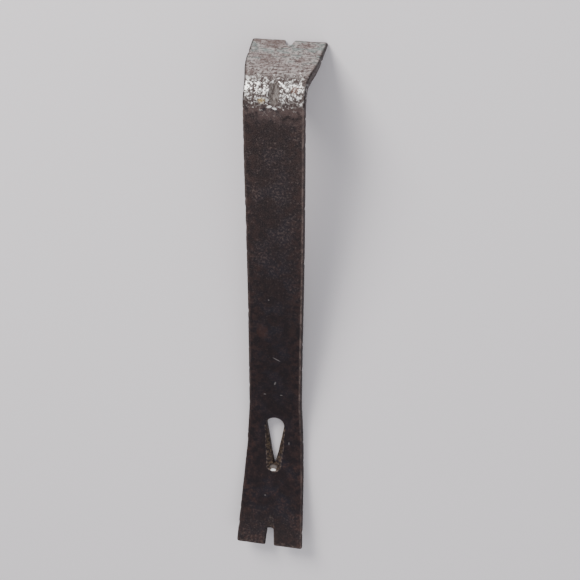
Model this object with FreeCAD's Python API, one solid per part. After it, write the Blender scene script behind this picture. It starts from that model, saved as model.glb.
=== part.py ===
"""Flat pry bar: one piece of forged spring steel, bent and slotted for nails.

The bar is designed in its own bar frame and then set down as it lies on a floor:

* bar frame: Y runs along the shank towards the hook, Z out of the front face, which is
  the face on the outside of the hook's bend, and X across the width. The shank's front
  face is Z = 0 and Y = 0 is the shoulder between the shank and the claw.
* part frame: the bar rests on its hook tip and on the back of its claw, front face up,
  with the origin under the middle of its bounding box.

Everything is in millimetres and degrees.
"""
import FreeCAD, Part
import math
import os

Vector = FreeCAD.Vector

# Shank
THICKNESS = 5.6              # of the shank and of both bends
EDGE_RADIUS = 0.9            # rounding of the long edges and of the two tips
SHANK_LENGTH = 206.0         # shoulder to the start of the hook's bend
SHANK_WIDTH_AT_CLAW = 33.6   # at its narrowest place
SHANK_NARROWEST_AT = 9.0     # shoulder to that place
SHANK_WIDTH_AT_HOOK = 35.1

# Claw, the gently bent end
CLAW_BEND_RADIUS = 157.0     # of the front face, on the inside of this bend
CLAW_BEND_ANGLE = 17.8
CLAW_FLAT_LENGTH = 46.0      # end of the bend to the tip
CLAW_ROOT_WIDTH = 34.8
CLAW_TIP_WIDTH = 44.45
SHOULDER_LENGTH = 5.0        # of the claw's root, where its sides turn into the shank's

# Hook, the sharply bent end
HOOK_BEND_RADIUS = 18.4      # of the front face, on the outside of this bend
HOOK_BEND_ANGLE = 79.5
HOOK_FLAT_LENGTH = 35.2      # end of the bend to the tip
HOOK_TIP_WIDTH = 44.45
HOOK_FLARE_WIDTH = 42.5      # where the flare turns into the blade's straight sides
HOOK_STRAIGHT_SIDES = 21.5   # length of those sides
FLARE_START_PULL = 7.0       # how far the flare holds the direction that it starts in
FLARE_END_PULL = 11.5        # how far it holds the direction that it ends in

# Tips
TIP_THICKNESS = 2.1
TIP_CORNER_RADIUS = 1.6
CLAW_GRIND_LENGTH = 4.0      # short ground bevel on the front of the claw's tip
CLAW_GRIND_DEPTH = 0.5

# Teardrop nail slot in the claw
SLOT_WIDE_RADIUS = 5.8
SLOT_NARROW_RADIUS = 0.7
SLOT_LENGTH = 34.2           # end to end, the wide end towards the shank
SLOT_FROM_SHOULDER = 3.0     # shoulder to the wide end
RECESS_RADIUS = 9.5          # of the round-bottomed countersink along the slot, in the front
RECESS_DEPTH_AT_START = 2.9  # around the slot's wide end
RECESS_DEPTH_HALF_WAY = 2.35
RECESS_DEPTH_AT_END = 1.5
RECESS_PAST_SLOT = 5.6       # how far it runs past the slot's narrow end

# Nail notches in the two tips
CLAW_NOTCH_MOUTH = 5.6
CLAW_NOTCH_END = 4.2
CLAW_NOTCH_DEPTH = 12.4
HOOK_NOTCH_MOUTH = 5.4
HOOK_NOTCH_END = 2.6
HOOK_NOTCH_DEPTH = 6.6
NOTCH_END_RADIUS = 0.6       # in both corners of a notch's closed end
NOTCH_MOUTH_RADIUS = 0.7     # on both sides of a notch's mouth
BEVEL_RADIUS = 4.0           # of the round-bottomed bevel for nail heads at each notch
BEVEL_DEPTH = 1.2            # at the notch's closed end
CLAW_BEVEL_PAST_NOTCH = 10.8 # how far the bevel runs past the notch's closed end
HOOK_BEVEL_PAST_NOTCH = 7.0

# Groove pressed into the outside of the hook's bend, with its rib on the inside
GROOVE_WIDTH = 6.8
GROOVE_DEPTH = 1.5
GROOVE_FROM_BEND = 9.3       # its middle to the start of the bend, along the front face
RIB_WIDTH = 8.0
RIB_HEIGHT = 1.6

MARGIN = 5.0                 # how far a cutting tool runs past the metal it cuts


class End:
    """A bend at one end of the shank and the flat blade that it leads to.

    way is +1 for the hook, which leaves the shank towards +Y and turns to the back, and
    -1 for the claw, which leaves it towards -Y and turns to the front. Distances are
    measured along the front face from the start of the bend.
    """

    def __init__(self, way, start, radius, angle, flat):
        self.way = way
        self.angle = angle
        self.radius = radius
        self.back_radius = radius - way * THICKNESS
        self.centre = Vector(0, start, -way * radius)
        self.bend_length = radius * math.radians(angle)
        self.length = self.bend_length + flat

    def normal(self, angle):
        """Outward normal of the front face after the end has turned by angle."""
        a = math.radians(angle)
        return Vector(0, math.sin(a), math.cos(a))

    def direction(self, angle):
        """Direction along the end, away from the shank, after turning by angle."""
        a = math.radians(angle)
        return Vector(0, math.cos(a), -math.sin(a)) * self.way

    def on_bend(self, angle, radius):
        """Point of the bend at that angle and at that radius from its centre."""
        return self.centre + self.normal(angle) * (self.way * radius)

    def point(self, distance, height=0.0):
        """Point at that distance along the end and that height above the front face."""
        angle = self.angle_at(distance)
        past = max(distance - self.bend_length, 0.0)
        base = self.on_bend(angle, self.radius)
        return base + self.direction(angle) * past + self.normal(angle) * height

    def angle_at(self, distance):
        """Angle that the end has turned by at that distance."""
        return min(math.degrees(distance / self.radius), self.angle)

    def placed(self, shape, distance, height=0.0):
        """Put a shape on the front face at that distance.

        The shape's Y becomes the direction away from the shank and its Z the outward
        normal of the front face.
        """
        angle = self.angle_at(distance)
        along = self.direction(angle)
        out = self.normal(angle)
        turned = FreeCAD.Rotation(along.cross(out), along, out, "ZYX")
        moved = shape.copy()
        there = FreeCAD.Placement(self.point(distance, height), turned)
        moved.Placement = there.multiply(shape.Placement)
        return moved


CLAW = End(-1, 0.0, CLAW_BEND_RADIUS, CLAW_BEND_ANGLE, CLAW_FLAT_LENGTH)
HOOK = End(1, SHANK_LENGTH, HOOK_BEND_RADIUS, HOOK_BEND_ANGLE, HOOK_FLAT_LENGTH)


def lines(points):
    """Straight edges that join the points in order."""
    return [Part.LineSegment(a, b).toShape() for a, b in zip(points, points[1:])]


def arc(first, middle, last):
    """Circular edge through three points."""
    return Part.Arc(first, middle, last).toShape()


def bezier(poles):
    """Bezier edge with those poles."""
    curve = Part.BezierCurve()
    curve.setPoles(poles)
    return curve.toShape()


def prism(edges, low, high):
    """Solid from z = low to z = high over a closed outline drawn in the XY plane."""
    face = Part.Face(Part.Wire(Part.__sortEdges__(edges)))
    face.translate(Vector(0, 0, low))
    return face.extrude(Vector(0, 0, high - low))


def mirrored_outline(half):
    """Close an outline from its +X half, given from its low end to its high end."""
    other = [edge.mirror(Vector(), Vector(1, 0, 0)) for edge in half]
    first = half[0].Vertexes[0].Point
    last = half[-1].Vertexes[-1].Point
    caps = lines([first, Vector(-first.x, first.y, 0)])
    caps += lines([last, Vector(-last.x, last.y, 0)])
    return half + other + caps


def end_profile(end, grind_length, grind_depth):
    """Side view of one end, from the shank's front face round the tip to its back."""
    bends = []
    for radius in (end.radius, end.back_radius):
        points = [end.on_bend(end.angle * part, radius) for part in (0.0, 0.5, 1.0)]
        bends.append(arc(*points))
    face = [end.point(end.bend_length)]
    if grind_depth > 0:
        face.append(end.point(end.length - grind_length))
    face.append(end.point(end.length, -grind_depth))
    face.append(end.point(end.length, -grind_depth - TIP_THICKNESS))
    face.append(end.on_bend(end.angle, end.back_radius))
    return bends + lines(face)


def side_solid():
    """The bar's side view carried across more than its width."""
    edges = end_profile(CLAW, CLAW_GRIND_LENGTH, CLAW_GRIND_DEPTH)
    edges += end_profile(HOOK, 0.0, 0.0)
    for z in (0.0, -THICKNESS):
        edges += lines([Vector(0, 0, z), Vector(0, SHANK_LENGTH, z)])
    face = Part.Face(Part.Wire(Part.__sortEdges__(edges)))
    reach = max(CLAW_TIP_WIDTH, HOOK_TIP_WIDTH)
    face.translate(Vector(-reach, 0, 0))
    return face.extrude(Vector(2 * reach, 0, 0))


def shank_and_claw_outline():
    """Plan of the claw and the shank, seen along the bar frame's Z."""
    tip = CLAW.point(CLAW.length).y
    root = -SHOULDER_LENGTH
    claw_slope = (CLAW_TIP_WIDTH - CLAW_ROOT_WIDTH) / 2 / (root - tip)
    pull = (SHOULDER_LENGTH + SHANK_NARROWEST_AT) / 3
    far = Vector(CLAW_TIP_WIDTH / 2 + claw_slope * MARGIN, tip - MARGIN, 0)
    claw_root = Vector(CLAW_ROOT_WIDTH / 2, root, 0)
    shank_root = Vector(SHANK_WIDTH_AT_CLAW / 2, SHANK_NARROWEST_AT, 0)
    shoulder = bezier([
        claw_root,
        claw_root + Vector(-claw_slope * pull, pull, 0),
        shank_root - Vector(0, pull, 0),
        shank_root,
    ])
    bend = Vector(SHANK_WIDTH_AT_HOOK / 2, SHANK_LENGTH, 0)
    half = Vector(0, (SHANK_LENGTH - SHANK_NARROWEST_AT) / 2, 0)
    shank = bezier([shank_root, shank_root + half, bend - half, bend])
    return lines([far, claw_root]) + [shoulder, shank]


def hook_outline():
    """Plan of the hook, seen square to its blade, from the start of the bend."""
    reach = HOOK.radius * math.sin(math.radians(HOOK.angle)) + HOOK_FLAT_LENGTH
    flare_end = reach - HOOK_STRAIGHT_SIDES
    slope = (HOOK_TIP_WIDTH - HOOK_FLARE_WIDTH) / 2 / HOOK_STRAIGHT_SIDES
    low = Vector(SHANK_WIDTH_AT_HOOK / 2, -MARGIN, 0)
    back = THICKNESS * math.sin(math.radians(HOOK.angle))
    start = Vector(SHANK_WIDTH_AT_HOOK / 2, back, 0)
    turn = Vector(HOOK_FLARE_WIDTH / 2, flare_end, 0)
    far = Vector(HOOK_TIP_WIDTH / 2 + slope * MARGIN, reach + MARGIN, 0)
    flare = bezier([
        start,
        start + Vector(0, FLARE_START_PULL, 0),
        turn - Vector(slope * FLARE_END_PULL, FLARE_END_PULL, 0),
        turn,
    ])
    return lines([low, start]) + [flare] + lines([turn, far])


def shank_and_claw(side):
    """The claw and the shank at their own widths."""
    tall = CLAW.length
    return side.common(prism(mirrored_outline(shank_and_claw_outline()), -tall, tall))


def hook(side):
    """The hook at its own widths, as far as the end of the shank."""
    deep = HOOK.length
    wide = prism(mirrored_outline(hook_outline()), -2 * deep, deep)
    along = HOOK.direction(HOOK.angle)
    out = HOOK.normal(HOOK.angle)
    turned = FreeCAD.Rotation(along.cross(out), along, out, "ZYX")
    wide.Placement = FreeCAD.Placement(Vector(0, SHANK_LENGTH, 0), turned)
    beyond = Part.makeBox(4 * deep, 2 * deep, 4 * deep)
    beyond.translate(Vector(-2 * deep, SHANK_LENGTH, -2 * deep))
    return side.common(wide).common(beyond)


def facing(face):
    """Outward normal at the middle of a face."""
    u0, u1, v0, v1 = face.ParameterRange
    return face.normalAt((u0 + u1) / 2, (v0 + v1) / 2)


def is_tip(face):
    """Whether a face is the flat end of the claw or of the hook."""
    middle = face.BoundBox.Center
    for end in (CLAW, HOOK):
        near = middle.distanceToPoint(end.point(end.length)) < 2 * TIP_THICKNESS
        if near and facing(face).dot(end.direction(end.angle)) > 0.9:
            return True
    return False


def is_joint(face):
    """Whether a face is the flat one where the hook meets the shank."""
    box = face.BoundBox
    return box.YLength < 0.01 and abs(box.YMax - SHANK_LENGTH) < 0.01


def tip_corners(body):
    """The upright corners of the tips that a body has."""
    tip_edges = [e for f in body.Faces if is_tip(f) for e in f.Edges]
    return [e for e in tip_edges if e.BoundBox.XLength < 1]


def rims(body):
    """The edges between a body's sides and tips and its front and back faces."""
    outline, faces = [], []
    for face in body.Faces:
        if is_joint(face):
            continue
        sides = is_tip(face) or abs(facing(face).x) > 0.1
        (outline if sides else faces).extend(face.Edges)
    return [e for e in faces if any(e.isSame(other) for other in outline)]


def rounded(body):
    """A body with its tip corners and its long edges rounded."""
    body = body.removeSplitter()
    body = body.makeFillet(TIP_CORNER_RADIUS, tip_corners(body))
    return body.makeFillet(EDGE_RADIUS, rims(body))


def blank():
    """The bent bar with rounded tips and edges, before any slot or notch is cut."""
    side = side_solid()
    return rounded(shank_and_claw(side)).fuse(rounded(hook(side))).removeSplitter()


def rod(radius, length):
    """Round rod along Y, centred on the origin."""
    rod = Part.makeCylinder(radius, length, Vector(0, -length / 2, 0), Vector(0, 1, 0))
    return rod


def segment_radius(width, depth):
    """Radius of the circle of which that width and depth is a segment."""
    return (width ** 2 / 4 + depth ** 2) / (2 * depth)


def groove():
    """Tool for the straight round-bottomed groove across the outside of the bend."""
    radius = segment_radius(GROOVE_WIDTH, GROOVE_DEPTH)
    tool = rod(radius, 4 * HOOK_BEND_RADIUS)
    return HOOK.placed(tool, GROOVE_FROM_BEND, radius - GROOVE_DEPTH)


def rib():
    """Straight rib across the inside of the bend, opposite the groove."""
    radius = segment_radius(RIB_WIDTH, RIB_HEIGHT)
    crown = -THICKNESS - RIB_HEIGHT
    length = 2.6 * math.sqrt(2 * HOOK.back_radius * RIB_HEIGHT)
    bar = HOOK.placed(rod(radius, length), GROOVE_FROM_BEND, crown + radius)
    keep = Part.makeBox(2 * radius, length, 2 * RIB_HEIGHT, Vector(-radius, -length / 2, 0))
    return bar.common(HOOK.placed(keep, GROOVE_FROM_BEND, crown))


def slot():
    """Tool for the teardrop slot, right through the claw."""
    wide = SLOT_FROM_SHOULDER + SLOT_WIDE_RADIUS
    narrow = SLOT_FROM_SHOULDER + SLOT_LENGTH - SLOT_NARROW_RADIUS
    middle = (wide + narrow) / 2
    apart = narrow - wide
    slope = math.asin((SLOT_WIDE_RADIUS - SLOT_NARROW_RADIUS) / apart)
    edges = []
    for radius, y, way in ((SLOT_WIDE_RADIUS, wide, -1), (SLOT_NARROW_RADIUS, narrow, 1)):
        x = radius * math.cos(slope)
        up = y - middle + radius * math.sin(slope)
        end = Vector(0, y - middle + way * radius, 0)
        edges.append(arc(Vector(-x, up, 0), end, Vector(x, up, 0)))
    for side in (0, -1):
        edges += lines([edge.Vertexes[side].Point for edge in edges[:2]])
    return CLAW.placed(prism(edges, -THICKNESS - MARGIN, MARGIN), middle)


def recess():
    """Tool for the countersink along the slot, shallower and so narrower towards its end."""
    end_reach = math.sqrt(RECESS_RADIUS ** 2 - (RECESS_RADIUS - RECESS_DEPTH_AT_END) ** 2)
    first = SLOT_FROM_SHOULDER + SLOT_WIDE_RADIUS
    last = SLOT_FROM_SHOULDER + SLOT_LENGTH + RECESS_PAST_SLOT - end_reach
    places = (
        (first, RECESS_DEPTH_AT_START),
        ((first + last) / 2, RECESS_DEPTH_HALF_WAY),
        (last, RECESS_DEPTH_AT_END),
    )
    centres = [CLAW.point(distance, RECESS_RADIUS - depth) for distance, depth in places]
    tool = Part.makeSphere(RECESS_RADIUS, centres[0])
    for near, far in zip(centres, centres[1:]):
        along = far - near
        tool = tool.fuse(Part.makeCylinder(RECESS_RADIUS, along.Length, near, along))
        tool = tool.fuse(Part.makeSphere(RECESS_RADIUS, far))
    return tool


def notch(end, mouth, closed, depth):
    """Tool for a tapered notch in a tip, with a rounded closed end and mouth."""
    r = NOTCH_MOUTH_RADIUS
    s = r * math.sqrt(0.5)
    half, inner = mouth / 2, closed / 2
    right = [
        Vector(inner, -depth, 0), Vector(half, -r, 0), Vector(half + r, 0, 0),
        Vector(half + r, MARGIN, 0),
    ]
    left = [Vector(-p.x, p.y, 0) for p in right]
    edges = lines(right[:2]) + lines(right[2:]) + lines(left[:2]) + lines(left[2:])
    edges += lines([right[0], left[0]]) + lines([right[-1], left[-1]])
    for way in (-1, 1):
        turn = Vector(way * (half + r - s), s - r, 0)
        edges.append(arc(Vector(way * half, -r, 0), turn, Vector(way * (half + r), 0, 0)))
    tool = prism(edges, -THICKNESS - MARGIN, MARGIN)
    inside = [e for e in tool.Edges if e.BoundBox.ZLength > THICKNESS
              and abs(e.BoundBox.Center.y + depth) < 0.01]
    return end.placed(tool.makeFillet(NOTCH_END_RADIUS, inside), end.length)


def notch_bevel(end, distance, past, on_front):
    """Tool for the sloping round-bottomed bevel that leads into a notch.

    distance is from the start of the bend to the notch's closed end, where the bevel is
    BEVEL_DEPTH deep, and past is how far towards the shank it runs out.
    """
    slope = math.degrees(math.atan2(BEVEL_DEPTH, past))
    tool = rod(BEVEL_RADIUS, 2 * (end.length - distance + past + MARGIN))
    if on_front:
        tool.translate(Vector(0, 0, BEVEL_RADIUS))
        tool.rotate(Vector(), Vector(1, 0, 0), -slope)
        return end.placed(tool, distance - past)
    taper = (THICKNESS - TIP_THICKNESS) / (end.length - end.bend_length)
    depth = THICKNESS - taper * (distance - past - end.bend_length)
    tool.translate(Vector(0, 0, -BEVEL_RADIUS))
    tool.rotate(Vector(), Vector(1, 0, 0), slope + math.degrees(math.atan(taper)))
    return end.placed(tool, distance - past, -depth)


def bar():
    """The finished bar in the bar frame."""
    claw_end = CLAW.length - CLAW_NOTCH_DEPTH
    hook_end = HOOK.length - HOOK_NOTCH_DEPTH
    body = blank().fuse(rib())
    tools = [
        groove(),
        slot(),
        recess(),
        notch(CLAW, CLAW_NOTCH_MOUTH, CLAW_NOTCH_END, CLAW_NOTCH_DEPTH),
        notch(HOOK, HOOK_NOTCH_MOUTH, HOOK_NOTCH_END, HOOK_NOTCH_DEPTH),
        notch_bevel(CLAW, claw_end, CLAW_BEVEL_PAST_NOTCH, True),
        notch_bevel(HOOK, hook_end, HOOK_BEVEL_PAST_NOTCH, False),
    ]
    for tool in tools:
        body = body.cut(tool)
    return body.removeSplitter().Solids[0]


def resting_tilt():
    """Angle of the shank to the floor when the hook tip and the claw's back touch it.

    Both contacts are round: the back of the claw's bend, and the rounding along the
    hook tip's inner edge.
    """
    inner = EDGE_RADIUS - TIP_THICKNESS
    tip = HOOK.point(HOOK.length - EDGE_RADIUS, inner) - CLAW.centre
    reach = math.hypot(tip.y, tip.z)
    down = math.atan2(-tip.z, tip.y)
    return math.degrees(down - math.asin((CLAW.back_radius - EDGE_RADIUS) / reach))


def set_down(body):
    """Turn and move the bar from the bar frame into its resting place."""
    body.rotate(Vector(), Vector(1, 0, 0), resting_tilt())
    box = body.optimalBoundingBox(False, False)
    body.translate(Vector(-box.Center.x, -box.Center.y, -box.ZMin))
    return body


def main():
    """Write the bar's part file."""
    os.makedirs("parts", exist_ok=True)
    set_down(bar()).exportStep("parts/forged_bar.step")


main()
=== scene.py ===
import logging
import math
from dataclasses import dataclass, field
from enum import Enum

import bpy
import numpy as np
from mathutils import Matrix, Vector


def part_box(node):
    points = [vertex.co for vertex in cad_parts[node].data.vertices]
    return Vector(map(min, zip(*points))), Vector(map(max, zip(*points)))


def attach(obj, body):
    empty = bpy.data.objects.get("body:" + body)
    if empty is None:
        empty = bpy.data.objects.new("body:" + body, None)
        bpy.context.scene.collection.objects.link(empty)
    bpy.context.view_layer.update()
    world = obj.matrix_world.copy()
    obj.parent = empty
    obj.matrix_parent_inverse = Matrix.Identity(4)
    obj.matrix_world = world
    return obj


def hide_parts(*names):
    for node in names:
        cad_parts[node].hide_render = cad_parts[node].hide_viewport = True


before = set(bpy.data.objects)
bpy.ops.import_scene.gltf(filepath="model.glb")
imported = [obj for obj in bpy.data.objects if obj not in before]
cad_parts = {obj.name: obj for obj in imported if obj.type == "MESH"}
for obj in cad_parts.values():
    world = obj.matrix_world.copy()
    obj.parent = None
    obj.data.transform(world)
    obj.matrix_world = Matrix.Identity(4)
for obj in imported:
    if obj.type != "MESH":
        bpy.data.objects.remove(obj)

MM = 0.001
LOG = logging.getLogger("pry_bar")
Colour = tuple[float, float, float]


class Face(Enum):
    """Which broad face of the bar a point belongs to."""

    FRONT = 1
    BACK = -1


def smooth(low: float, high: float, value: np.ndarray) -> np.ndarray:
    """Smooth step: 0 below low, 1 above high, and 3u^2 - 2u^3 between them.

    Args:
        low: where the step starts.
        high: where it ends.
        value: positions to evaluate.

    Returns:
        The step's height at each position.
    """
    u = np.clip((value - low) / (high - low), 0.0, 1.0)
    return u * u * (3.0 - 2.0 * u)


def lattice_noise(points: np.ndarray, scale: float, seed: int) -> np.ndarray:
    """Value noise from 0 to 1: random numbers on a cubic lattice, eased between corners.

    Args:
        points: positions, one row each, in millimetres.
        scale: lattice spacing in millimetres.
        seed: picks the lattice's random numbers.

    Returns:
        One noise value per row.
    """
    size, clear_of_zero = 64, 1000.0
    table = np.random.default_rng(seed).random((size, size, size))
    q = points / scale + clear_of_zero
    low = np.floor(q).astype(int)
    u = q - low
    u = u * u * (3.0 - 2.0 * u)
    total = np.zeros(len(points))
    for dx in (0, 1):
        for dy in (0, 1):
            for dz in (0, 1):
                corner = table[(low[:, 0] + dx) % size, (low[:, 1] + dy) % size, (low[:, 2] + dz) % size]
                weight = (u[:, 0] if dx else 1 - u[:, 0]) * (u[:, 1] if dy else 1 - u[:, 1])
                total += corner * weight * (u[:, 2] if dz else 1 - u[:, 2])
    return total


@dataclass(frozen=True)
class End:
    """A bend at one end of the shank and the flat blade after it, in millimetres."""

    radius: float
    turn: float
    flat: float

    @property
    def arc(self) -> float:
        """Length of the bend along the front face."""
        return self.radius * self.turn

    @property
    def length(self) -> float:
        """Length of the bend and the blade together."""
        return self.arc + self.flat


@dataclass(frozen=True)
class Notch:
    """A tapered nail notch cut into a tip, in millimetres."""

    mouth: float
    closed: float
    depth: float
    bevel_past: float
    corner: float = 0.6
    lip: float = 0.7

    def half_width(self, inward: np.ndarray) -> np.ndarray:
        """Half the notch's width, narrowing evenly, with a squarish round closed end.

        The closed end is a superellipse of order four, and the mouth has a round lip.

        Args:
            inward: distance from the tip.

        Returns:
            The half width, 0 where there is no notch.
        """
        share = np.clip((inward - self.lip) / (self.depth - self.lip), 0.0, 1.0)
        half = (self.mouth + (self.closed - self.mouth) * share) / 2
        end = np.clip((inward - self.depth + self.corner) / self.corner, 0.0, 1.0)
        lip = np.clip(self.lip - inward, 0.0, self.lip)
        half = half * (1.0 - end ** 4) ** 0.25
        half = half + self.lip - np.sqrt(self.lip ** 2 - lip ** 2)
        return np.where(inward < self.depth, half, 0.0)


@dataclass
class BarShape:
    """The forged bar's sizes in millimetres and the formulas of its surface.

    A place on the bar is (along, across): along is measured on the front face from the
    shoulder between the claw and the shank, positive towards the hook.
    """

    thickness: float = 5.6
    rim: float = 0.9
    shank: float = 206.0
    claw: End = End(157.0, math.radians(17.8), 46.0)
    hook: End = End(18.4, math.radians(79.5), 35.2)
    half_claw_tip: float = 22.225
    half_claw_root: float = 17.4
    half_shank_low: float = 16.8
    half_shank_high: float = 17.55
    narrowest_at: float = 9.0
    half_flare: float = 21.25
    half_hook_tip: float = 22.225
    straight_sides: float = 21.5
    flare_pulls: tuple[float, float] = (7.0, 11.5)
    shoulder: float = 5.0
    tip_thickness: float = 2.1
    tip_corner: float = 1.6
    grind_length: float = 4.0
    grind_depth: float = 0.5
    slot_top: float = 3.0
    slot_length: float = 34.2
    slot_wide: float = 5.8
    slot_narrow: float = 0.7
    recess_radius: float = 9.5
    recess_depths: tuple[float, float, float] = (2.9, 2.35, 1.5)
    recess_past: float = 5.6
    claw_notch: Notch = Notch(5.6, 4.2, 12.4, 10.8)
    hook_notch: Notch = Notch(5.4, 2.6, 6.6, 7.0)
    bevel_radius: float = 4.0
    bevel_depth: float = 1.2
    groove_width: float = 6.8
    groove_depth: float = 1.5
    groove_at: float = 9.3
    rib_width: float = 8.0
    rib_height: float = 1.6

    def line(self, along: np.ndarray) -> tuple[np.ndarray, np.ndarray, np.ndarray]:
        """The front face's side view: arcs of constant radius joined by straight runs.

        Args:
            along: places along the bar.

        Returns:
            The y and z of the front face and the angle that it has turned by.
        """
        down = np.maximum(-along, 0.0)
        up = np.maximum(along - self.shank, 0.0)
        a = np.minimum(down / self.claw.radius, self.claw.turn)
        b = np.minimum(up / self.hook.radius, self.hook.turn)
        past_a = np.maximum(down - self.claw.arc, 0.0)
        past_b = np.maximum(up - self.hook.arc, 0.0)
        y = np.clip(along, 0.0, self.shank)
        y = y - self.claw.radius * np.sin(a) - past_a * np.cos(a)
        y = y + self.hook.radius * np.sin(b) + past_b * np.cos(b)
        z = self.claw.radius * (1 - np.cos(a)) + past_a * np.sin(a)
        z = z - self.hook.radius * (1 - np.cos(b)) - past_b * np.sin(b)
        return y, z, a + b

    def tip_distance(self, along: np.ndarray) -> np.ndarray:
        """Distance to the nearer tip."""
        return np.minimum(along + self.claw.length, self.shank + self.hook.length - along)

    def curve(self, knots: list[tuple[float, float]], at: np.ndarray) -> np.ndarray:
        """Half widths along one cubic Bezier curve.

        Args:
            knots: its four control points as place and half width.
            at: places to evaluate.

        Returns:
            The half width at each place.
        """
        u = np.linspace(0.0, 1.0, 200)[:, None]
        weights = np.hstack([(1 - u) ** 3, 3 * u * (1 - u) ** 2, 3 * u * u * (1 - u), u ** 3])
        path = weights @ np.array(knots)
        return np.interp(at, path[:, 0], path[:, 1])

    def hook_half(self, reach: np.ndarray) -> np.ndarray:
        """Half the hook's width: parallel, then a cubic flare, then straight sides.

        Args:
            reach: distance from the start of the bend, square to the blade's end.

        Returns:
            The half width there.
        """
        total = self.hook.radius * math.sin(self.hook.turn) + self.hook.flat
        end = total - self.straight_sides
        slope = (self.half_hook_tip - self.half_flare) / self.straight_sides
        start = self.thickness * math.sin(self.hook.turn)
        out, back = self.flare_pulls
        flare = self.curve([
            (start, self.half_shank_high),
            (start + out, self.half_shank_high),
            (end - back, self.half_flare - back * slope),
            (end, self.half_flare),
        ], reach)
        return np.where(reach > end, self.half_flare + (reach - end) * slope, flare)

    def shank_half(self, y: np.ndarray) -> np.ndarray:
        """Half the width of the claw and the shank: straight flare, shoulder, slow widening.

        Args:
            y: distance along the shank's own straight line, from the shoulder.

        Returns:
            The half width there.
        """
        tip = float(self.line(np.array([-self.claw.length]))[0][0])
        slope = (self.half_claw_tip - self.half_claw_root) / (-self.shoulder - tip)
        pull = (self.shoulder + self.narrowest_at) / 3
        shoulder = self.curve([
            (-self.shoulder, self.half_claw_root),
            (pull - self.shoulder, self.half_claw_root - slope * pull),
            (self.narrowest_at - pull, self.half_shank_low),
            (self.narrowest_at, self.half_shank_low),
        ], y)
        middle = (self.shank + self.narrowest_at) / 2
        shank = self.curve([
            (self.narrowest_at, self.half_shank_low),
            (middle, self.half_shank_low),
            (middle, self.half_shank_high),
            (self.shank, self.half_shank_high),
        ], y)
        claw = self.half_claw_root + slope * (-self.shoulder - y)
        return np.where(y < -self.shoulder, claw, np.where(y < self.narrowest_at, shoulder, shank))

    def half_width(self, along: np.ndarray, height: np.ndarray) -> np.ndarray:
        """Half the bar's width, with the round corners of the tips.

        Args:
            along: places along the bar.
            height: height above the front face, negative inside the metal.

        Returns:
            The half width.
        """
        y, z, turn = self.line(along)
        py, pz = y + height * np.sin(turn), z + height * np.cos(turn)
        reach = (py - self.shank) * math.cos(self.hook.turn) - pz * math.sin(self.hook.turn)
        half = np.where(along < self.shank, self.shank_half(y), self.hook_half(reach))
        near = np.clip(self.tip_corner - self.tip_distance(along), 0.0, self.tip_corner)
        return half - self.tip_corner + np.sqrt(self.tip_corner ** 2 - near ** 2)

    def opening(self, along: np.ndarray) -> np.ndarray:
        """Half the width of whatever is cut through the middle of the bar.

        The slot is two circles joined by their common tangents; the notches taper.

        Args:
            along: places along the bar.

        Returns:
            The half width of the opening, 0 where the bar is whole.
        """
        d = -along
        wide = self.slot_top + self.slot_wide
        narrow = self.slot_top + self.slot_length - self.slot_narrow
        lean = math.asin((self.slot_wide - self.slot_narrow) / (narrow - wide))
        big = np.sqrt(np.maximum(self.slot_wide ** 2 - (d - wide) ** 2, 0.0))
        small = np.sqrt(np.maximum(self.slot_narrow ** 2 - (d - narrow) ** 2, 0.0))
        side = (self.slot_wide - (d - wide) * math.sin(lean)) / math.cos(lean)
        first = wide + self.slot_wide * math.sin(lean)
        last = narrow + self.slot_narrow * math.sin(lean)
        slot = np.where(d < first, big, np.where(d < last, side, small))
        slot = np.where((d > self.slot_top) & (d < self.slot_top + self.slot_length), slot, 0.0)
        claw = self.claw_notch.half_width(self.claw.length + along)
        hook = self.hook_notch.half_width(self.shank + self.hook.length - along)
        return np.maximum(slot, np.maximum(claw, hook))

    def tip_rounding(self, along: np.ndarray) -> np.ndarray:
        """How far the faces have come in at a tip: a quarter circle of the rim's radius."""
        near = np.clip(self.rim - self.tip_distance(along), 0.0, self.rim)
        return self.rim - np.sqrt(self.rim ** 2 - near ** 2)

    def recess(self, along: np.ndarray, across: np.ndarray) -> np.ndarray:
        """Depth of the countersink along the slot.

        The tool is two straight round rods with a ball at each end, and its depth is
        stated around the slot's wide end, half way and at its far end. Between them the
        claw's curve makes it shallower by the face's own sag.

        Args:
            along: places along the bar.
            across: places across it.

        Returns:
            The depth below the front face.
        """
        radius, depths = self.recess_radius, self.recess_depths
        reach = math.sqrt(radius ** 2 - (radius - depths[2]) ** 2)
        first = self.slot_top + self.slot_wide
        last = self.slot_top + self.slot_length + self.recess_past - reach
        middle = (first + last) / 2
        d = np.clip(-along, first, last)
        sag = np.where(d < middle, (d - first) * (middle - d), (d - middle) * (last - d))
        deep = np.interp(d, [first, middle, last], depths) - sag / (2 * self.claw.radius)
        off = np.hypot(across, along + d)
        return np.maximum(np.sqrt(np.maximum(radius ** 2 - off ** 2, 0.0)) - radius + deep, 0.0)

    def notch_bevel(self, inward: np.ndarray, across: np.ndarray, notch: Notch) -> np.ndarray:
        """Depth of the bevel that leads into a notch: a round rod laid in at a slope.

        Args:
            inward: distances from the tip.
            across: places across the bar.
            notch: the notch that the bevel leads into.

        Returns:
            The depth below the face, rising evenly to nothing past the notch.
        """
        run_out = notch.depth + notch.bevel_past
        sunk = (run_out - inward) * self.bevel_depth / notch.bevel_past
        crown = self.bevel_radius - np.sqrt(np.maximum(self.bevel_radius ** 2 - across ** 2, 0.0))
        return np.where(np.abs(across) < self.bevel_radius, np.maximum(sunk - crown, 0.0), 0.0)

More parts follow.
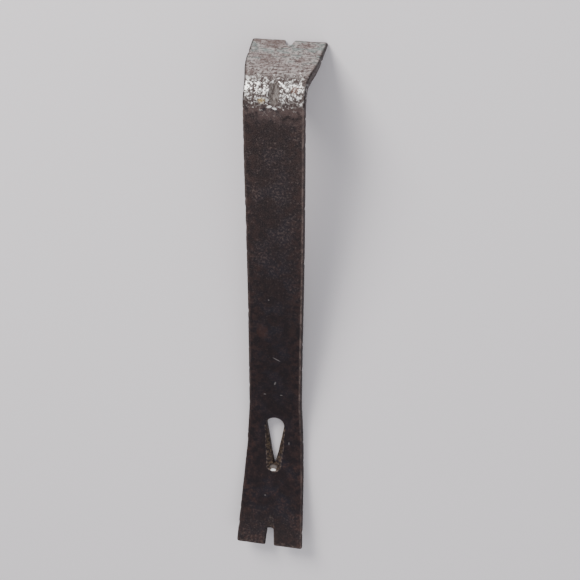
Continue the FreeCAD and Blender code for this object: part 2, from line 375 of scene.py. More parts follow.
    def groove(self, along: np.ndarray, across: np.ndarray) -> np.ndarray:
        """Depth of the groove across the bend: a straight round rod pressed into it.

        The rod's radius comes from the groove's width and depth as a circle's chord and
        rise, and the depth is the face's circle less the rod's, square to the face.

        Args:
            along: places along the bar.
            across: places across it.

        Returns:
            The depth below the front face.
        """
        radius = (self.groove_width ** 2 / 4 + self.groove_depth ** 2) / (2 * self.groove_depth)
        middle = self.groove_at / self.hook.radius
        turn = np.clip((along - self.shank) / self.hook.radius, 0.0, self.hook.turn) - middle
        before = np.maximum(self.shank - along, 0.0)
        level = self.hook.radius * (np.cos(turn) - 1.0) - before * math.sin(middle)
        rod = radius - self.groove_depth - np.sqrt(np.maximum(radius ** 2 - across ** 2, 0.0))
        depth = np.maximum(level - rod, 0.0) / np.cos(turn)
        return np.where(np.abs(across) < radius, depth, 0.0)

    def rib(self, along: np.ndarray, across: np.ndarray) -> np.ndarray:
        """Height of the rib that the groove pushes out on the inside of the bend.

        It is a round rod like the groove's, which stands out of the inner face's circle.

        Args:
            along: places along the bar.
            across: places across it.

        Returns:
            The height beyond the back face.
        """
        radius = (self.rib_width ** 2 / 4 + self.rib_height ** 2) / (2 * self.rib_height)
        middle = self.groove_at / self.hook.radius
        turn = np.clip((along - self.shank) / self.hook.radius, 0.0, self.hook.turn) - middle
        before = np.maximum(self.shank - along, 0.0)
        inner = self.hook.radius - self.thickness
        level = -self.hook.radius + inner * np.cos(turn) - before * math.sin(middle)
        crown = -self.thickness - self.rib_height
        rod = crown + radius - np.sqrt(np.maximum(radius ** 2 - across ** 2, 0.0))
        high = np.maximum(level - rod, 0.0) / np.cos(turn)
        return np.where(np.abs(across) < radius, high, 0.0)

    def front(self, along: np.ndarray, across: np.ndarray) -> np.ndarray:
        """Height of the front face, 0 where it is untouched and negative where it is cut.

        Args:
            along: places along the bar.
            across: places across it.

        Returns:
            The deepest of the cuts and the grinding of the claw's tip.
        """
        inward = self.claw.length + along
        grind = self.grind_depth * np.clip(1 - inward / self.grind_length, 0.0, 1.0)
        cut = np.maximum(self.recess(along, across), self.groove(along, across))
        cut = np.maximum(cut, self.notch_bevel(inward, across, self.claw_notch))
        return -np.maximum(cut, grind) - self.tip_rounding(along)

    def back(self, along: np.ndarray, across: np.ndarray) -> np.ndarray:
        """Height of the back face, which rises evenly towards the front at both tips.

        Args:
            along: places along the bar.
            across: places across it.

        Returns:
            The height, measured from the front face and so negative.
        """
        into_claw = np.clip((-along - self.claw.arc) / self.claw.flat, 0.0, 1.0)
        into_hook = np.clip((along - self.shank - self.hook.arc) / self.hook.flat, 0.0, 1.0)
        level = -self.thickness
        level = level + into_claw * (self.thickness - self.tip_thickness - self.grind_depth)
        level = level + into_hook * (self.thickness - self.tip_thickness)
        outward = self.shank + self.hook.length - along
        level = level + self.notch_bevel(outward, across, self.hook_notch)
        return level - self.rib(along, across) + self.tip_rounding(along)


@dataclass
class Skin:
    """The bar's merged surface, before wear, in the bar's own frame and in millimetres.

    Points and quads make the surface. Place is each point's across, along and height,
    and inset is its distance from the nearest rim or tip.
    """

    points: np.ndarray
    quads: np.ndarray
    place: np.ndarray
    inset: np.ndarray


@dataclass
class BarMesh:
    """The bar's surface as two mirrored half skins over a grid of stations and columns."""

    shape: BarShape = field(default_factory=BarShape)
    columns: int = 27
    crowding: float = 1.35
    corner_steps: int = 4
    spacing_ends: float = 0.52
    spacing_shank: float = 0.95
    spacing_key: float = 0.07
    growth: float = 0.4
    key_gap: float = 0.03
    samples: int = 60001
    lip: float = 0.25
    clear_of_cuts: float = 15.0
    most_rounding: float = 0.49
    merge_steps: float = 1e5

    def stations(self) -> np.ndarray:
        """Places along the bar where sections are taken.

        The wanted spacing is a smooth function of place: fine near the ends of the
        slot, notches and tips. Stations are where the integral of its inverse is whole.

        Returns:
            The places in order, the ends of every feature among them.
        """
        s = self.shape
        low, high = -s.claw.length, s.shank + s.hook.length
        key = np.array([
            low, low + s.rim, low + s.tip_corner, low + s.claw_notch.depth,
            -s.slot_top - s.slot_length, -s.slot_top, 0.0,
            high - s.hook_notch.depth, high - s.tip_corner, high - s.rim, high,
        ])
        fine = np.linspace(low, high, self.samples)
        on_shank = smooth(3.0, 20.0, fine) * (1 - smooth(s.shank - 16.0, s.shank - 3.0, fine))
        wanted = self.spacing_ends + (self.spacing_shank - self.spacing_ends) * on_shank
        near = np.abs(fine[:, None] - key[None, :]).min(axis=1)
        wanted = np.minimum(wanted, self.spacing_key + self.growth * near)
        count = np.concatenate([[0.0], np.cumsum(np.diff(fine) / wanted[:-1])])
        whole = np.interp(np.linspace(0.0, count[-1], int(count[-1]) + 1), count, fine)
        far = np.abs(whole[:, None] - key[None, :]).min(axis=1) > self.key_gap
        return np.unique(np.concatenate([whole[far], key]))

    def half_skin(self, along: np.ndarray) -> tuple[np.ndarray, np.ndarray, np.ndarray]:
        """One half of every section, from the middle of the front round to the back.

        Across a face the columns run from the opening's edge, which is slightly worn
        round, to the rim's rounding, closer together near the opening. The rounding is
        a quarter circle.

        Args:
            along: the stations.

        Returns:
            Across, height and distance from the rim, one row per station and one column
            per point.
        """
        s = self.shape
        t = along[:, None]
        inner = s.opening(along)[:, None]
        share = np.linspace(0.0, 1.0, self.columns)[None, :] ** self.crowding
        side = np.full_like(t, self.clear_of_cuts)
        levels = {Face.FRONT: s.front, Face.BACK: s.back}
        tall = levels[Face.FRONT](t, side) - levels[Face.BACK](t, side)
        radius = np.minimum(s.rim, self.most_rounding * tall)
        angle = np.linspace(0.0, math.pi / 2, self.corner_steps + 1)[None, 1:]
        rings = {}
        for face, level_at in levels.items():
            half = s.half_width(t, level_at(t, side))
            outer = half - radius
            x = inner + (outer - inner) * share
            worn = np.where(inner > 0, np.clip(self.lip - (x - inner), 0.0, self.lip), 0.0)
            level = level_at(t, x) - face.value * (self.lip - np.sqrt(self.lip ** 2 - worn ** 2))
            edge_x = outer + radius * np.sin(angle)
            edge_level = level[:, -1:] - face.value * radius * (1 - np.cos(angle))
            rings[face] = [
                np.hstack([x, edge_x]),
                np.hstack([level, edge_level]),
                np.hstack([half - x, half - edge_x]),
            ]
        pairs = zip(rings[Face.FRONT], rings[Face.BACK])
        return tuple(np.hstack([front, back[:, ::-1]]) for front, back in pairs)

    def half_quads(self, along: np.ndarray, columns: int) -> np.ndarray:
        """The quads of one half: its skin, the walls of its openings and its end faces.

        Args:
            along: the stations.
            columns: how many points each section has.

        Returns:
            Four point numbers per quad.
        """
        index = np.arange(len(along) * columns).reshape(-1, columns)
        skin = np.stack([index[:-1, :-1], index[:-1, 1:], index[1:, 1:], index[1:, :-1]], axis=-1)
        open_row = np.nonzero(self.shape.opening((along[:-1] + along[1:]) / 2) > 0)[0]
        near, far = index[open_row], index[open_row + 1]
        wall = np.stack([near[:, 0], far[:, 0], far[:, -1], near[:, -1]], axis=-1)
        j = np.arange(columns // 2 - 1)
        k = columns - 1 - j
        low, high = index[0], index[-1]
        low_end = np.stack([low[j], low[k], low[k - 1], low[j + 1]], axis=-1)
        high_end = np.stack([high[j], high[j + 1], high[k - 1], high[k]], axis=-1)
        return np.concatenate([skin.reshape(-1, 4), wall, low_end, high_end])

    def build(self) -> Skin:
        """The right half and its mirror image, with the points that coincide merged.

        A point stands on the front face's line, moved by its height square to that line.

        Returns:
            The whole skin.
        """
        along = self.stations()
        across, height, inset = self.half_skin(along)
        t = np.repeat(along[:, None], across.shape[1], axis=1)
        y, z, turn = self.shape.line(t)
        y, z = y + height * np.sin(turn), z + height * np.cos(turn)
        right = np.stack([across, y, z], axis=-1).reshape(-1, 3)
        place = np.stack([across, t, height], axis=-1).reshape(-1, 3)
        mirror = np.array([-1.0, 1.0, 1.0])
        points, place = (np.concatenate([half, half * mirror]) for half in (right, place))
        quads = self.half_quads(along, across.shape[1])
        quads = np.concatenate([quads, quads[:, ::-1] + len(right)])
        keys = np.round(points * self.merge_steps).astype(np.int64)
        _, first, inverse = np.unique(keys, axis=0, return_index=True, return_inverse=True)
        place = place[first]
        inset = np.minimum(np.tile(inset.reshape(-1), 2)[first], self.shape.tip_distance(place[:, 1]))
        return Skin(points[first], inverse.reshape(-1)[quads], place, inset)


@dataclass
class Wear:
    """Dents, nicks and the forged surface's unevenness, all of it into the metal, in mm."""

    seed: int = 11
    unevenness: float = 0.10
    bump_spacings: tuple[float, float] = (7.0, 2.3)
    nick: float = 0.34
    nick_spacing: float = 2.6
    dents: int = 130
    dented_length: tuple[float, float] = (-94.0, 266.0)
    dented_half_width: float = 20.0
    dent_radius: tuple[float, float] = (0.9, 2.2)
    dent_depth: tuple[float, float] = (0.05, 0.2)
    middle_height: float = -2.8
    sway: float = 0.45

    def dented(self, place: np.ndarray) -> np.ndarray:
        """Depth of the round dents: each is a bell curve of the distance from its middle.

        Args:
            place: across, along and height of each point.

        Returns:
            The deepest dent at each point.
        """
        rng = np.random.default_rng(self.seed + 3)
        along = rng.uniform(*self.dented_length, self.dents)
        across = rng.uniform(-self.dented_half_width, self.dented_half_width, self.dents)
        size = rng.uniform(*self.dent_radius, self.dents)
        deep = rng.uniform(*self.dent_depth, self.dents)
        side = rng.choice([-1.0, 1.0], self.dents)
        point_side = np.sign(place[:, 2] - self.middle_height)
        hit = np.zeros(len(place))
        for a, c, r, d, f in zip(along, across, size, deep, side):
            near = np.nonzero((np.abs(place[:, 1] - a) < 3 * r) & (point_side == f))[0]
            off = ((place[near, 1] - a) ** 2 + (place[near, 0] - c) ** 2) / r ** 2
            hit[near] = np.maximum(hit[near], d * np.exp(-off))
        return hit

    def depth(self, place: np.ndarray, inset: np.ndarray) -> np.ndarray:
        """How far each point is moved into the metal.

        Two octaves of lattice noise, plus nicks where a third noise is high on a rim,
        plus the dents.

        Args:
            place: across, along and height of each point.
            inset: each point's distance from the nearest rim or tip.

        Returns:
            The depth in millimetres.
        """
        wide, narrow = self.bump_spacings
        coarse = lattice_noise(place, wide, self.seed)
        fine = lattice_noise(place, narrow, self.seed + 1)
        uneven = coarse * 0.65 + fine * 0.35
        chip = lattice_noise(place * [1.0, 1.0, 0.6], self.nick_spacing, self.seed + 2)
        chip = smooth(0.62, 0.95, chip) * smooth(1.6, 0.2, inset)
        return self.unevenness * uneven + self.nick * chip + self.dented(place)

    def bowed(self, points: np.ndarray, place: np.ndarray, length: float) -> np.ndarray:
        """Move the shank's middle slightly sideways by a squared sine along its length.

        Args:
            points: the points, in millimetres.
            place: across, along and height of each point.
            length: the shank's length.

        Returns:
            The moved points.
        """
        u = np.clip(place[:, 1] / length, 0.0, 1.0)
        moved = points.copy()
        moved[:, 0] += self.sway * np.sin(math.pi * u) ** 2
        return moved


class Socket:
    """A shader value that Python's operators turn into Math nodes."""

    def __init__(self, nodes: "NodeMaker", link: bpy.types.NodeSocket) -> None:
        """Wrap an output socket of one material's node maker."""
        self.nodes = nodes
        self.link = link

    def math(self, operation: str, *values: "Socket | float") -> "Socket":
        """A Math node of that operation on the values."""
        return self.nodes.add("ShaderNodeMath", {"operation": operation}, dict(enumerate(values)))

    def __add__(self, other: "Socket | float") -> "Socket":
        """Sum."""
        return self.math("ADD", self, other)

    __radd__ = __add__

    def __sub__(self, other: "Socket | float") -> "Socket":
        """Difference."""
        return self.math("SUBTRACT", self, other)

    def __rsub__(self, other: float) -> "Socket":
        """Difference from a number."""
        return self.math("SUBTRACT", other, self)

    def __mul__(self, other: "Socket | float") -> "Socket":
        """Product."""
        return self.math("MULTIPLY", self, other)

    __rmul__ = __mul__

    def highest(self, other: "Socket | float") -> "Socket":
        """The larger of two values."""
        return self.math("MAXIMUM", self, other)

    def step(self, start: float, end: float) -> "Socket":
        """Smooth step from 0 at start to 1 at end, either of which may be the larger.

        Args:
            start: the value where the step is 0.
            end: the value where it is 1.

        Returns:
            The step.
        """
        low, high = (start, end) if start < end else (end, start)
        ends = (0.0, 1.0) if start < end else (1.0, 0.0)
        settings = {"interpolation_type": "SMOOTHSTEP"}
        return self.nodes.add("ShaderNodeMapRange", settings, dict(enumerate((self, low, high, *ends))))


class NodeMaker:
    """Builds one material's nodes."""

    def __init__(self, name: str) -> None:
        """Start an empty node material.

        Args:
            name: the material's name.
        """
        self.material = bpy.data.materials.new(name)
        self.material.use_nodes = True
        self.tree = self.material.node_tree
        self.tree.nodes.clear()

    def add(self, kind: str, settings: dict | None = None, inputs: dict | None = None,
            output: int | str = 0) -> Socket:
        """Add a node.

        Args:
            kind: the node's type.
            settings: its own properties, set before its sockets.
            inputs: socket names or numbers, with numbers, colours or Sockets to put there.
            output: which output socket to return.

        Returns:
            The chosen output.
        """
        node = self.tree.nodes.new(kind)
        for name, value in (settings or {}).items():
            setattr(node, name, value)
        for name, value in (inputs or {}).items():
            socket = node.inputs[name]
            if isinstance(value, Socket):
                self.tree.links.new(value.link, socket)
            elif socket.type == "RGBA":
                socket.default_value = (*value, 1.0)
            else:
                socket.default_value = value
        return Socket(self, node.outputs[output]) if node.outputs else None

    def mix(self, factor: Socket | float, first: Socket | tuple, second: Socket | tuple) -> Socket:
        """Mix two colours by a factor."""
        return self.add("ShaderNodeMix", {"data_type": "RGBA"}, {0: factor, 6: first, 7: second}, 2)

    def noise(self, place: Socket, scale: float, detail: float = 3.0, rough: float = 0.55) -> Socket:
        """Noise around 0.5 over a place, with that many lattice cells per metre."""
        inputs = {"Vector": place, "Scale": scale, "Detail": detail, "Roughness": rough}
        return self.add("ShaderNodeTexNoise", {"noise_dimensions": "3D"}, inputs)

    def stretched(self, place: Socket, scale: tuple[float, float, float]) -> Socket:
        """A place multiplied by a scale on each axis."""
        return self.add("ShaderNodeVectorMath", {"operation": "MULTIPLY"}, {0: place, 1: scale})

    def attribute(self, name: str, output: str = "Fac") -> Socket:
        """One of the mesh's own attributes."""
        return self.add("ShaderNodeAttribute", {"attribute_name": name}, output=output)

    def finish(self, inputs: dict) -> bpy.types.Material:
        """Put a principled shader with those inputs on the output.

        Args:
            inputs: the shader's sockets.

        Returns:
            The material.
        """
        shader = self.add("ShaderNodeBsdfPrincipled", {}, inputs)
        self.add("ShaderNodeOutputMaterial", {}, {"Surface": shader})
        return self.material


def linear(red: int, green: int, blue: int) -> Colour:
    """A display colour as linear light: the standard display curve's straight and curved parts.

    Args:
        red: red from 0 to 255.
        green: green from 0 to 255.
        blue: blue from 0 to 255.

    Returns:
        The three parts from 0 to 1.
    """
    values = [c / 255 for c in (red, green, blue)]
    return tuple(c / 12.92 if c < 0.04045 else ((c + 0.055) / 1.055) ** 2.4 for c in values)


@dataclass(frozen=True)
class Mark:
    """One soft-edged mark on the front face, in millimetres; lean is its rise per mm across."""

    across: float
    along: float
    half_wide: float
    half_long: float
    lean: float = 0.0


class Surface:
    """What the finish reads at a point of the bar: where it is, its masks and its noises."""

    def __init__(self, nodes: NodeMaker) -> None:
        """Read the mesh's attributes and make the noises that every layer shares.

        Lengths are in metres. The noises are around 0.5, from the broadest to the finest.

        Args:
            nodes: the material's node maker.
        """
        self.nodes = nodes
        self.place = nodes.attribute("place", "Vector")
        self.across, self.along = (
            nodes.add("ShaderNodeSeparateXYZ", {}, {0: self.place}, axis) for axis in (0, 1))
        self.inset = nodes.attribute("inset")
        self.hollow = nodes.attribute("hollow")
        self.front = nodes.attribute("front")
        self.broad = nodes.noise(self.place, 60.0, 3.0)
        self.patch = nodes.noise(self.place, 230.0, 4.0, 0.62)
        self.fine = nodes.noise(self.place, 700.0, 4.0, 0.7)
        self.grit = nodes.noise(self.place, 1900.0, 2.0, 0.6)

    def marks(self, marks: tuple[Mark, ...]) -> Socket:
        """Where any of some marks is: 1 inside, with an edge that fine noise makes ragged.

        Each is 1 minus the squared distance from its middle, in its own half sizes.

        Args:
            marks: the marks.

        Returns:
            The mask.
        """
        total: Socket | float = 0.0
        for mark in marks:
            x = self.across - mark.across * MM
            y = (self.along - mark.along * MM - x * mark.lean) * (1 / (mark.half_long * MM))
            x = x * (1 / (mark.half_wide * MM))
            inside = (x * x + y * y + (self.fine - 0.5) * 3.2).step(1.3, 0.3)
            total = inside.highest(total)
        return total


@dataclass(frozen=True)
class WornSteel:
    """Dark forging scale on steel, rubbed bare on the bend, with painted highlights on the bend's specks,
    along the rims and at the ends of the recess and groove, and painted shade on the blade's rims.
    """

    black: Colour = linear(27, 20, 23)
    brown: Colour = linear(50, 35, 33)
    blue: Colour = linear(29, 27, 35)
    fleck: Colour = linear(112, 98, 92)
    # pale rim colour: the painted highlight along the long rims, partly rubbed steel, and the worn rim of
    # the slot's channel
    edge: Colour = linear(134, 118, 112)
    rust: Colour = linear(92, 58, 44)
    olive: Colour = linear(104, 88, 68)
    ochre: Colour = linear(170, 146, 98)
    # dark: the blade's dark specks, and the painted shade on the rims of the blade and bend
    dark_speck_and_rim_shade: Colour = linear(36, 28, 28)
    plate_dark: Colour = linear(86, 72, 69)
    plate_grey: Colour = linear(172, 166, 162)
    plate_mauve: Colour = linear(108, 90, 86)
    plate_green: Colour = linear(124, 138, 134)
    groove_dark: Colour = linear(66, 57, 53)
    groove_light: Colour = linear(124, 117, 112)
    middling: Colour = linear(140, 134, 130)
    # white: bare steel on the bend, and the painted highlights and sparkle
    bare_and_highlight_white: Colour = linear(255, 254, 250)
    bare_dull: Colour = linear(66, 55, 53)
    # painted highlights: the lower end of the slot's recess and just below the groove, where the surface
    # faces the light
    glints: tuple[Mark, ...] = (
        Mark(-0.4, -41.3, 2.0, 0.7),
        Mark(-2.4, 207.6, 1.5, 0.7, 0.2),
        Mark(0.6, 206.8, 1.3, 0.6, -0.2),
    )
    # painted highlight: patches on the right of the bend where the white specks crowd
    highlight_patches: tuple[Mark, ...] = (Mark(14.5, 229.5, 4.0, 2.6, 0.6), Mark(15.5, 223.0, 2.6, 4.0))
    scratches_and_highlight: tuple[Mark, ...] = (
        Mark(-3.9, 84.8, 0.55, 0.5),
        Mark(-4.6, -59.4, 0.5, 0.5),
        Mark(1.3, 42.4, 2.5, 0.4, -0.5),
        Mark(0.2, 24.5, 0.7, 1.1, 0.8),
        Mark(9.5, -20.7, 0.4, 1.2),
        Mark(-6.5, 15.4, 0.9, 0.4),
        Mark(4.2, 15.8, 1.0, 0.4),
        # painted highlight: the weaker glow over the lower end of the slot's recess
        Mark(-0.3, -39.6, 2.3, 1.7),
    )
    ochre_marks: tuple[Mark, ...] = (Mark(-6.8, 210.8, 2.0, 1.7),)
    rust_marks: tuple[Mark, ...] = (Mark(11.4, 217.6, 2.6, 2.4), Mark(-8.0, 62.0, 4.0, 5.0))

    def forging_scale(self, s: Surface) -> Socket:
        """Forging scale: blue-black in the middle, browner to the long edges, with pale flecks.

        The flecks thicken up the shank and at the claw's tip, and rust shows on the claw.

        Args:
            s: the surface.

        Returns:
            The colour.
        """
        n, along = s.nodes, s.along
        side = s.inset.step(0.012, 0.002)
        colour = n.mix(s.patch.step(0.38, 0.64) * (0.34 + side * 0.5), self.black, self.brown)
        colour = n.mix(s.broad.step(0.42, 0.62) * (0.7 - side * 0.5), colour, self.blue)
        claw = along.step(0.0, -0.03)
        rusty = (s.patch * 0.5 + s.broad * 0.5).step(0.5, 0.62) * s.fine.step(0.35, 0.6)
        colour = n.mix(rusty * (0.09 + claw * 0.12), colour, self.rust)
        worn = along.step(0.03, 0.2) * 0.36 + along.step(-0.06, -0.092) * 0.22
        flecks = (s.fine + s.broad * 0.3).step(0.64, 0.84) * (0.08 + worn * 1.3)
        flecks = flecks.highest(worn * 0.8 * s.grit.step(0.35, 0.75))
        return n.mix(flecks, colour, self.fleck)

    def blade(self, s: Surface, far: Socket) -> Socket:
        """The pulling blade: grey steel mottled mauve and brown, greener away from the bend.

        Args:
            s: the surface.
            far: 0 beside the bend to 1 toward the tip.

        Returns:
            The colour.
        """
        n = s.nodes
        streak = n.noise(n.stretched(s.place, (0.45, 1.0, 1.0)), 400.0, 5.0, 0.68)
        cloud = n.noise(n.stretched(s.place, (0.6, 1.0, 1.0)), 120.0, 4.0, 0.62)
        speck = n.noise(s.place, 560.0, 4.0, 0.72)
        colour = n.mix((speck * 0.7 + streak * 0.3).step(0.44, 0.56), self.plate_dark, self.plate_grey)
        colour = n.mix((cloud * 0.7 + streak * 0.3).step(0.46, 0.6) * 0.6, colour, self.plate_mauve)
        greener = (streak * 0.5 + cloud * 0.5).step(0.49, 0.43) * (0.05 + far * 0.6)
        colour = n.mix(greener, colour, self.plate_green)
        colour = n.mix(cloud.step(0.5, 0.62) * far * 0.35, colour, self.plate_dark)
        colour = n.mix(streak.step(0.58, 0.66) * far * 0.6, colour, self.plate_grey)
        return n.mix((streak * 0.7 + s.grit * 0.3).step(0.44, 0.36) * 0.75, colour, self.dark_speck_and_rim_shade)

    def groove(self, s: Surface) -> Socket:
        """The groove across the bend: brown-grey with runs along it."""
        runs = s.nodes.noise(s.nodes.stretched(s.place, (1.0, 0.3, 1.0)), 900.0, 4.0, 0.65)
        return s.nodes.mix(runs.step(0.38, 0.64), self.groove_dark, self.groove_light)

    def bare_specks_and_sparkle(self, s: Surface, start: float) -> tuple[Socket, Socket]:
        """Specks on the bend that thin out on both sides of it: rubbed-down steel, with the light's
        sparkle on the bend painted into the white ones as a painted highlight.

        Two noises make the specks. They are middling grey at their rims and white inside.

        Args:
            s: the surface.
            start: where the bend starts, in metres.

        Returns:
            The masks of the dull specks and of the white specks, which are bare steel and painted
            highlight.
        """
        dense = s.along.step(start - 0.008, start + 0.009) * s.along.step(start + 0.03, start + 0.013)
        # the painted highlight patches crowd the white specks
        dense = dense.highest(s.marks(self.highlight_patches) * 0.85)
        large, small = s.nodes.noise(s.place, 470.0, 4.0, 0.7), s.nodes.noise(s.place, 980.0, 3.0, 0.7)
        specks = large * 0.6 + small * 0.4 + (s.broad - 0.5) * 0.12 + (s.patch - 0.5) * 0.2
        specks = specks - (1.0 - dense) * 0.18
        outside = s.along.step(start - 0.02, start - 0.006) * s.front * (1.0 - s.hollow * 0.95)
        return specks.step(0.42, 0.5) * outside * 0.5, specks.step(0.505, 0.555) * outside

    def rims(self, s: Surface, blade: Socket) -> Socket:
        """A painted highlight on partly rubbed long edges: a broken line just inside the rim, where the
        rounding catches the light, stronger on the right.

        Args:
            s: the surface.
            blade: where the pulling blade is, which gets a fainter line.

        Returns:
            The mask.
        """
        line = s.inset.step(0.0019, 0.0008) * s.inset.step(0.0, 0.0006)
        broken = s.nodes.noise(s.nodes.stretched(s.place, (1.0, 0.4, 1.0)), 420.0, 4.0, 0.7)
        line = line * (0.35 + broken.step(0.45, 0.6) * 0.65)
        line = line * (1.0 - blade * 0.7) * (0.25 + s.across.step(0.0, 0.01) * 0.35)
        return line * (0.4 + s.along.step(-0.02, 0.03) * 0.6)

    def slot_channel(self, s: Surface, colour: Socket) -> Socket:
        """The channel around the slot, and faintly the claw notch's bevel, over a colour.

        Both have olive mottling and a paler ring where the cut meets the face.

        Args:
            s: the surface.
            colour: the colour below.

        Returns:
            The new colour.
        """
        sunk = s.along.step(0.02, 0.01) * (0.25 + s.along.step(-0.06, -0.05) * 0.75)
        colour = s.nodes.mix(s.hollow * sunk * s.fine.step(0.4, 0.62) * 0.5, colour, self.olive)
        ring = s.hollow * (1.0 - s.hollow) * 4.0 * sunk
        return s.nodes.mix(ring * s.fine.step(0.42, 0.6) * 0.5, colour, self.edge)

    def material(self, shape: BarShape) -> bpy.types.Material:
        """The finish as a node material, layer over layer from the scale up.

        Args:
            shape: sizes that place the worn bend and the blade.

        Returns:
            The material.
        """
        n = NodeMaker("worn_scale_and_painted_light")
        s = Surface(n)
        start = shape.shank * MM
        wavy = s.along + (s.patch - 0.5) * 0.009 + (s.fine - 0.5) * 0.005
        blade = wavy.step(start + 0.012, start + 0.02) * s.front
        bend = wavy.step(start - 0.001, start + 0.004) * wavy.step(start + 0.023, start + 0.016) * s.front
        fading = s.along.step(start - 0.012, start + 0.001) * s.along.step(start + 0.02, start + 0.012)
        dull, bare_and_sparkle = self.bare_specks_and_sparkle(s, start)
        rubbed_and_lit_rims = self.rims(s, blade)
        # painted glints, in white
        glint = s.marks(self.glints) * s.front * 0.85

        far = s.along.step(start + 0.026, start + 0.042)
        colour = n.mix(blade, self.forging_scale(s), self.blade(s, far))
        colour = n.mix(fading * s.front * s.patch.step(0.36, 0.56) * 0.5, colour, self.plate_mauve)
        colour = n.mix(bend * 0.92, colour, self.bare_dull)
        colour = n.mix(dull, colour, self.middling)
        in_groove = s.hollow * s.along.step(start - 0.02, start - 0.01)
        colour = n.mix(in_groove * 0.9, colour, self.groove(s))
        # white specks: rubbed bare steel with a painted highlight, the bend's sparkle
        colour = n.mix(bare_and_sparkle, colour, self.bare_and_highlight_white)
        colour = n.mix(s.marks(self.ochre_marks) * s.front * 0.6, colour, self.ochre)
        colour = n.mix(s.marks(self.rust_marks) * s.front * (0.18 + bend * 0.5), colour, self.rust)
        # painted highlight along the rims, on partly rubbed steel
        colour = n.mix(rubbed_and_lit_rims, colour, self.edge)
        # painted shade: a dark line on the rims of the blade and bend, where the rounding turns away from
        # the light
        turned = s.inset.step(0.0017, 0.0005) * blade.highest(bend) * 0.85
        colour = n.mix(turned, colour, self.dark_speck_and_rim_shade)
        colour = self.slot_channel(s, colour)
        # pale scratches, and a painted highlight at the recess's lower end
        colour = n.mix(s.marks(self.scratches_and_highlight) * s.front * 0.26, colour, self.plate_grey)
        colour = n.mix(glint, colour, self.bare_and_highlight_white)

        metal = (bare_and_sparkle * 0.55).highest(rubbed_and_lit_rims * 0.3).highest(glint * 0.6).highest(blade * 0.3)
        rough = 0.62 - bare_and_sparkle * 0.32 - rubbed_and_lit_rims * 0.1 - blade * 0.06 + (s.fine - 0.5) * 0.3
        height = s.fine * 0.6 + s.grit * 0.35 + s.patch * 0.9
        bump = {"Strength": 0.5, "Distance": 0.0004, "Height": height}
        return n.finish({
            "Base Color": colour,
            "Roughness": rough,
            "Metallic": metal,
            "Normal": n.add("ShaderNodeBump", {}, bump),
            "Specular IOR Level": 0.2,
        })


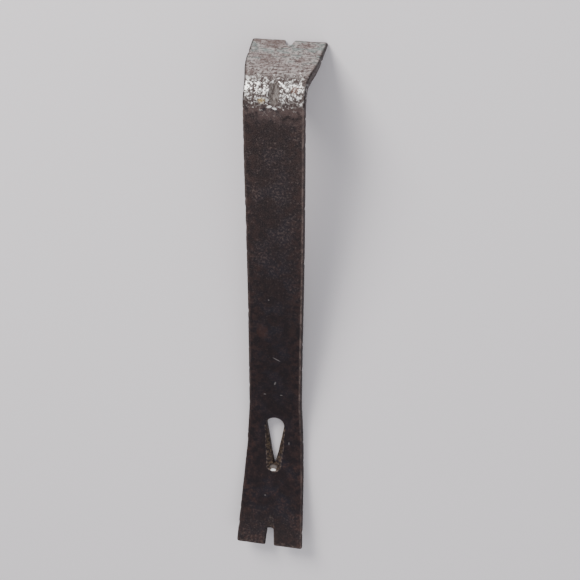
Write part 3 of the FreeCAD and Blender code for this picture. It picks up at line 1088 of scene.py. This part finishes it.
@dataclass
class PryBar:
    """The whole bar: one forging."""

    mesh: BarMesh = field(default_factory=BarMesh)
    wear: Wear = field(default_factory=Wear)
    finish: WornSteel = field(default_factory=WornSteel)
    node: str = "forged_bar"
    name: str = "pry_bar_forging"
    front_above: float = -2.9
    hollow_depths: tuple[float, float] = (0.05, 0.5)
    sharp_from: float = 38.0

    def resting(self, points: np.ndarray) -> np.ndarray:
        """Turn bar-frame points about X until the hook tip and the claw's back are level.

        Args:
            points: bar-frame points in millimetres.

        Returns:
            Points in metres, standing where the CAD part stands.
        """
        s = self.mesh.shape
        inset = np.array([s.shank + s.hook.length - s.rim])
        y, z, turn = s.line(inset)
        drop = s.rim - s.tip_thickness
        y, z = y + drop * np.sin(turn), z + drop * np.cos(turn) - s.claw.radius
        back = s.claw.radius + s.thickness - s.rim
        tilt = float(np.arctan2(-z, y)[0] - np.arcsin(back / np.hypot(y, z))[0])
        c, d = math.cos(tilt), math.sin(tilt)
        turned = points @ np.array([[1, 0, 0], [0, c, -d], [0, d, c]]).T * MM
        low, high = (np.array(v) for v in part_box(self.node))
        middle = (turned.min(axis=0) + turned.max(axis=0)) / 2
        return turned + [-middle[0], (low[1] + high[1]) / 2 - middle[1], low[2] - turned[:, 2].min()]

    def inward_normals(self, points: np.ndarray, quads: np.ndarray) -> np.ndarray:
        """Unit normals into the metal, each the mean of its quads' normals by area.

        A quad's normal is the cross product of its diagonals.

        Args:
            points: the points.
            quads: four point numbers per quad.

        Returns:
            One normal per point.
        """
        corner = points[quads]
        normal = np.cross(corner[:, 2] - corner[:, 0], corner[:, 3] - corner[:, 1])
        total = np.zeros_like(points)
        for k in range(4):
            np.add.at(total, quads[:, k], normal)
        return -total / np.maximum(np.linalg.norm(total, axis=1, keepdims=True), 1e-12)

    def polygons(self, quads: np.ndarray) -> list[list[int]]:
        """The quads, with those that have two corners merged into one as triangles.

        Args:
            quads: four point numbers per quad.

        Returns:
            The corner numbers of each polygon.
        """
        repeats = quads == np.roll(quads, -1, axis=1)
        merged = repeats.sum(axis=1)
        triangles = quads[merged == 1][~repeats[merged == 1]].reshape(-1, 3)
        return quads[merged == 0].tolist() + triangles.tolist()

    def write_attributes(self, mesh: bpy.types.Mesh, skin: Skin) -> None:
        """Store what the finish reads at each point, with lengths in metres.

        Hollow goes from 0 to 1 where the front face is cut, and front is 1 on that face.

        Args:
            mesh: the bar's mesh.
            skin: the skin that the mesh was made from.
        """
        shape = self.mesh.shape
        across, along, height = skin.place.T
        cut = -shape.front(along, across) - shape.tip_rounding(along)
        front = (height > self.front_above) * 1.0
        hollow = smooth(*self.hollow_depths, cut) * front
        for name, value in {"inset": skin.inset * MM, "hollow": hollow, "front": front}.items():
            layer = mesh.attributes.new(name, "FLOAT", "POINT")
            layer.data.foreach_set("value", value.astype(np.float32))
        layer = mesh.attributes.new("place", "FLOAT_VECTOR", "POINT")
        layer.data.foreach_set("vector", (skin.place * MM).astype(np.float32).ravel())

    def build(self) -> bpy.types.Object:
        """Make the bar's mesh, wear it and dress it.

        Returns:
            The finished object.
        """
        shape, skin = self.mesh.shape, self.mesh.build()
        points = self.resting(skin.points)
        depth = self.wear.depth(skin.place, skin.inset)
        points = points + self.inward_normals(points, skin.quads) * depth[:, None] * MM
        points = self.wear.bowed(points / MM, skin.place, shape.shank) * MM
        points[:, 2] = np.maximum(points[:, 2], 0.0)
        mesh = bpy.data.meshes.new(self.name)
        mesh.from_pydata(points.tolist(), [], self.polygons(skin.quads))
        mesh.polygons.foreach_set("use_smooth", np.ones(len(mesh.polygons), bool))
        mesh.set_sharp_from_angle(angle=math.radians(self.sharp_from))
        self.write_attributes(mesh, skin)
        piece = bpy.data.objects.new(self.name, mesh)
        bpy.context.scene.collection.objects.link(piece)
        mesh.materials.append(self.finish.material(shape))
        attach(piece, "root")
        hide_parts(self.node)
        return piece


@dataclass
class Studio:
    """Pale floor, soft light and the camera, in metres."""

    floor_half: float = 6.0
    floor_drop: float = 0.0001
    floor_colour: Colour = linear(242, 237, 239)
    sky: Colour = (0.93, 0.94, 1.0)
    sky_strength: float = 0.55
    camera_at: tuple[float, float, float] = (0.116884, 0.242193, 0.635017)
    right: tuple[float, float, float] = (0.981963, 0.036079, -0.185598)
    up: tuple[float, float, float] = (-0.095792, 0.941248, -0.323845)
    lens: float = 68.276
    sensor: float = 36.0

    def floor(self) -> bpy.types.Object:
        """A wide square just under the bar, with a pale matt finish.

        Returns:
            The floor.
        """
        mesh = bpy.data.meshes.new("floor")
        x = np.array([-1.0, 1.0, 1.0, -1.0]) * self.floor_half
        y = np.array([-1.0, -1.0, 1.0, 1.0]) * self.floor_half
        z = np.full(4, -self.floor_drop)
        mesh.from_pydata(np.stack([x, y, z], axis=-1).tolist(), [], [(0, 1, 2, 3)])
        piece = bpy.data.objects.new("floor", mesh)
        bpy.context.scene.collection.objects.link(piece)
        finish = {"Base Color": self.floor_colour, "Roughness": 0.75}
        mesh.materials.append(NodeMaker("pale_floor").finish(finish))
        return piece

    def lamp(self, name: str, at: tuple[float, ...], towards: tuple[float, ...], size: float,
             power: float, tint: Colour) -> None:
        """A square soft light that points at a target.

        Args:
            name: its name.
            at: where it stands.
            towards: the target.
            size: the length of its side.
            power: its power in watts.
            tint: its colour.
        """
        data = bpy.data.lights.new(name, "AREA")
        data.size, data.energy, data.color = size, power, tint
        lamp = bpy.data.objects.new(name, data)
        bpy.context.scene.collection.objects.link(lamp)
        lamp.location = at
        lamp.rotation_euler = (Vector(towards) - Vector(at)).to_track_quat("-Z", "Y").to_euler()

    def light(self) -> None:
        """Pale surroundings, a key light up and to the left, and a weak fill."""
        world = bpy.data.worlds.new("studio")
        bpy.context.scene.world = world
        world.use_nodes = True
        background = world.node_tree.nodes["Background"]
        background.inputs["Color"].default_value = (*self.sky, 1.0)
        background.inputs["Strength"].default_value = self.sky_strength
        self.lamp("key", (-0.7, 1.1, 0.9), (0, 0.05, 0), 0.7, 26.0, (1.0, 0.98, 0.96))
        self.lamp("fill", (0.6, -0.6, 1.2), (0, 0, 0), 1.2, 5.0, (0.96, 0.97, 1.0))

    def camera(self) -> None:
        """The camera, from its place and the directions of its right and up."""
        data = bpy.data.cameras.new("camera")
        data.lens, data.sensor_width = self.lens, self.sensor
        camera = bpy.data.objects.new("camera", data)
        bpy.context.scene.collection.objects.link(camera)
        right, up = Vector(self.right).normalized(), Vector(self.up).normalized()
        back = right.cross(up)
        turn = Matrix((right, up, back)).transposed().to_4x4()
        camera.matrix_world = Matrix.Translation(self.camera_at) @ turn
        bpy.context.scene.camera = camera


def main() -> None:
    logging.basicConfig(level=logging.INFO, format="%(message)s")
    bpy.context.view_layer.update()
    bar = PryBar().build()
    LOG.info("%s: %d vertices, %d faces", bar.name, len(bar.data.vertices), len(bar.data.polygons))
    studio = Studio()
    studio.floor()
    studio.light()
    studio.camera()


if __name__ == "__main__":
    main()
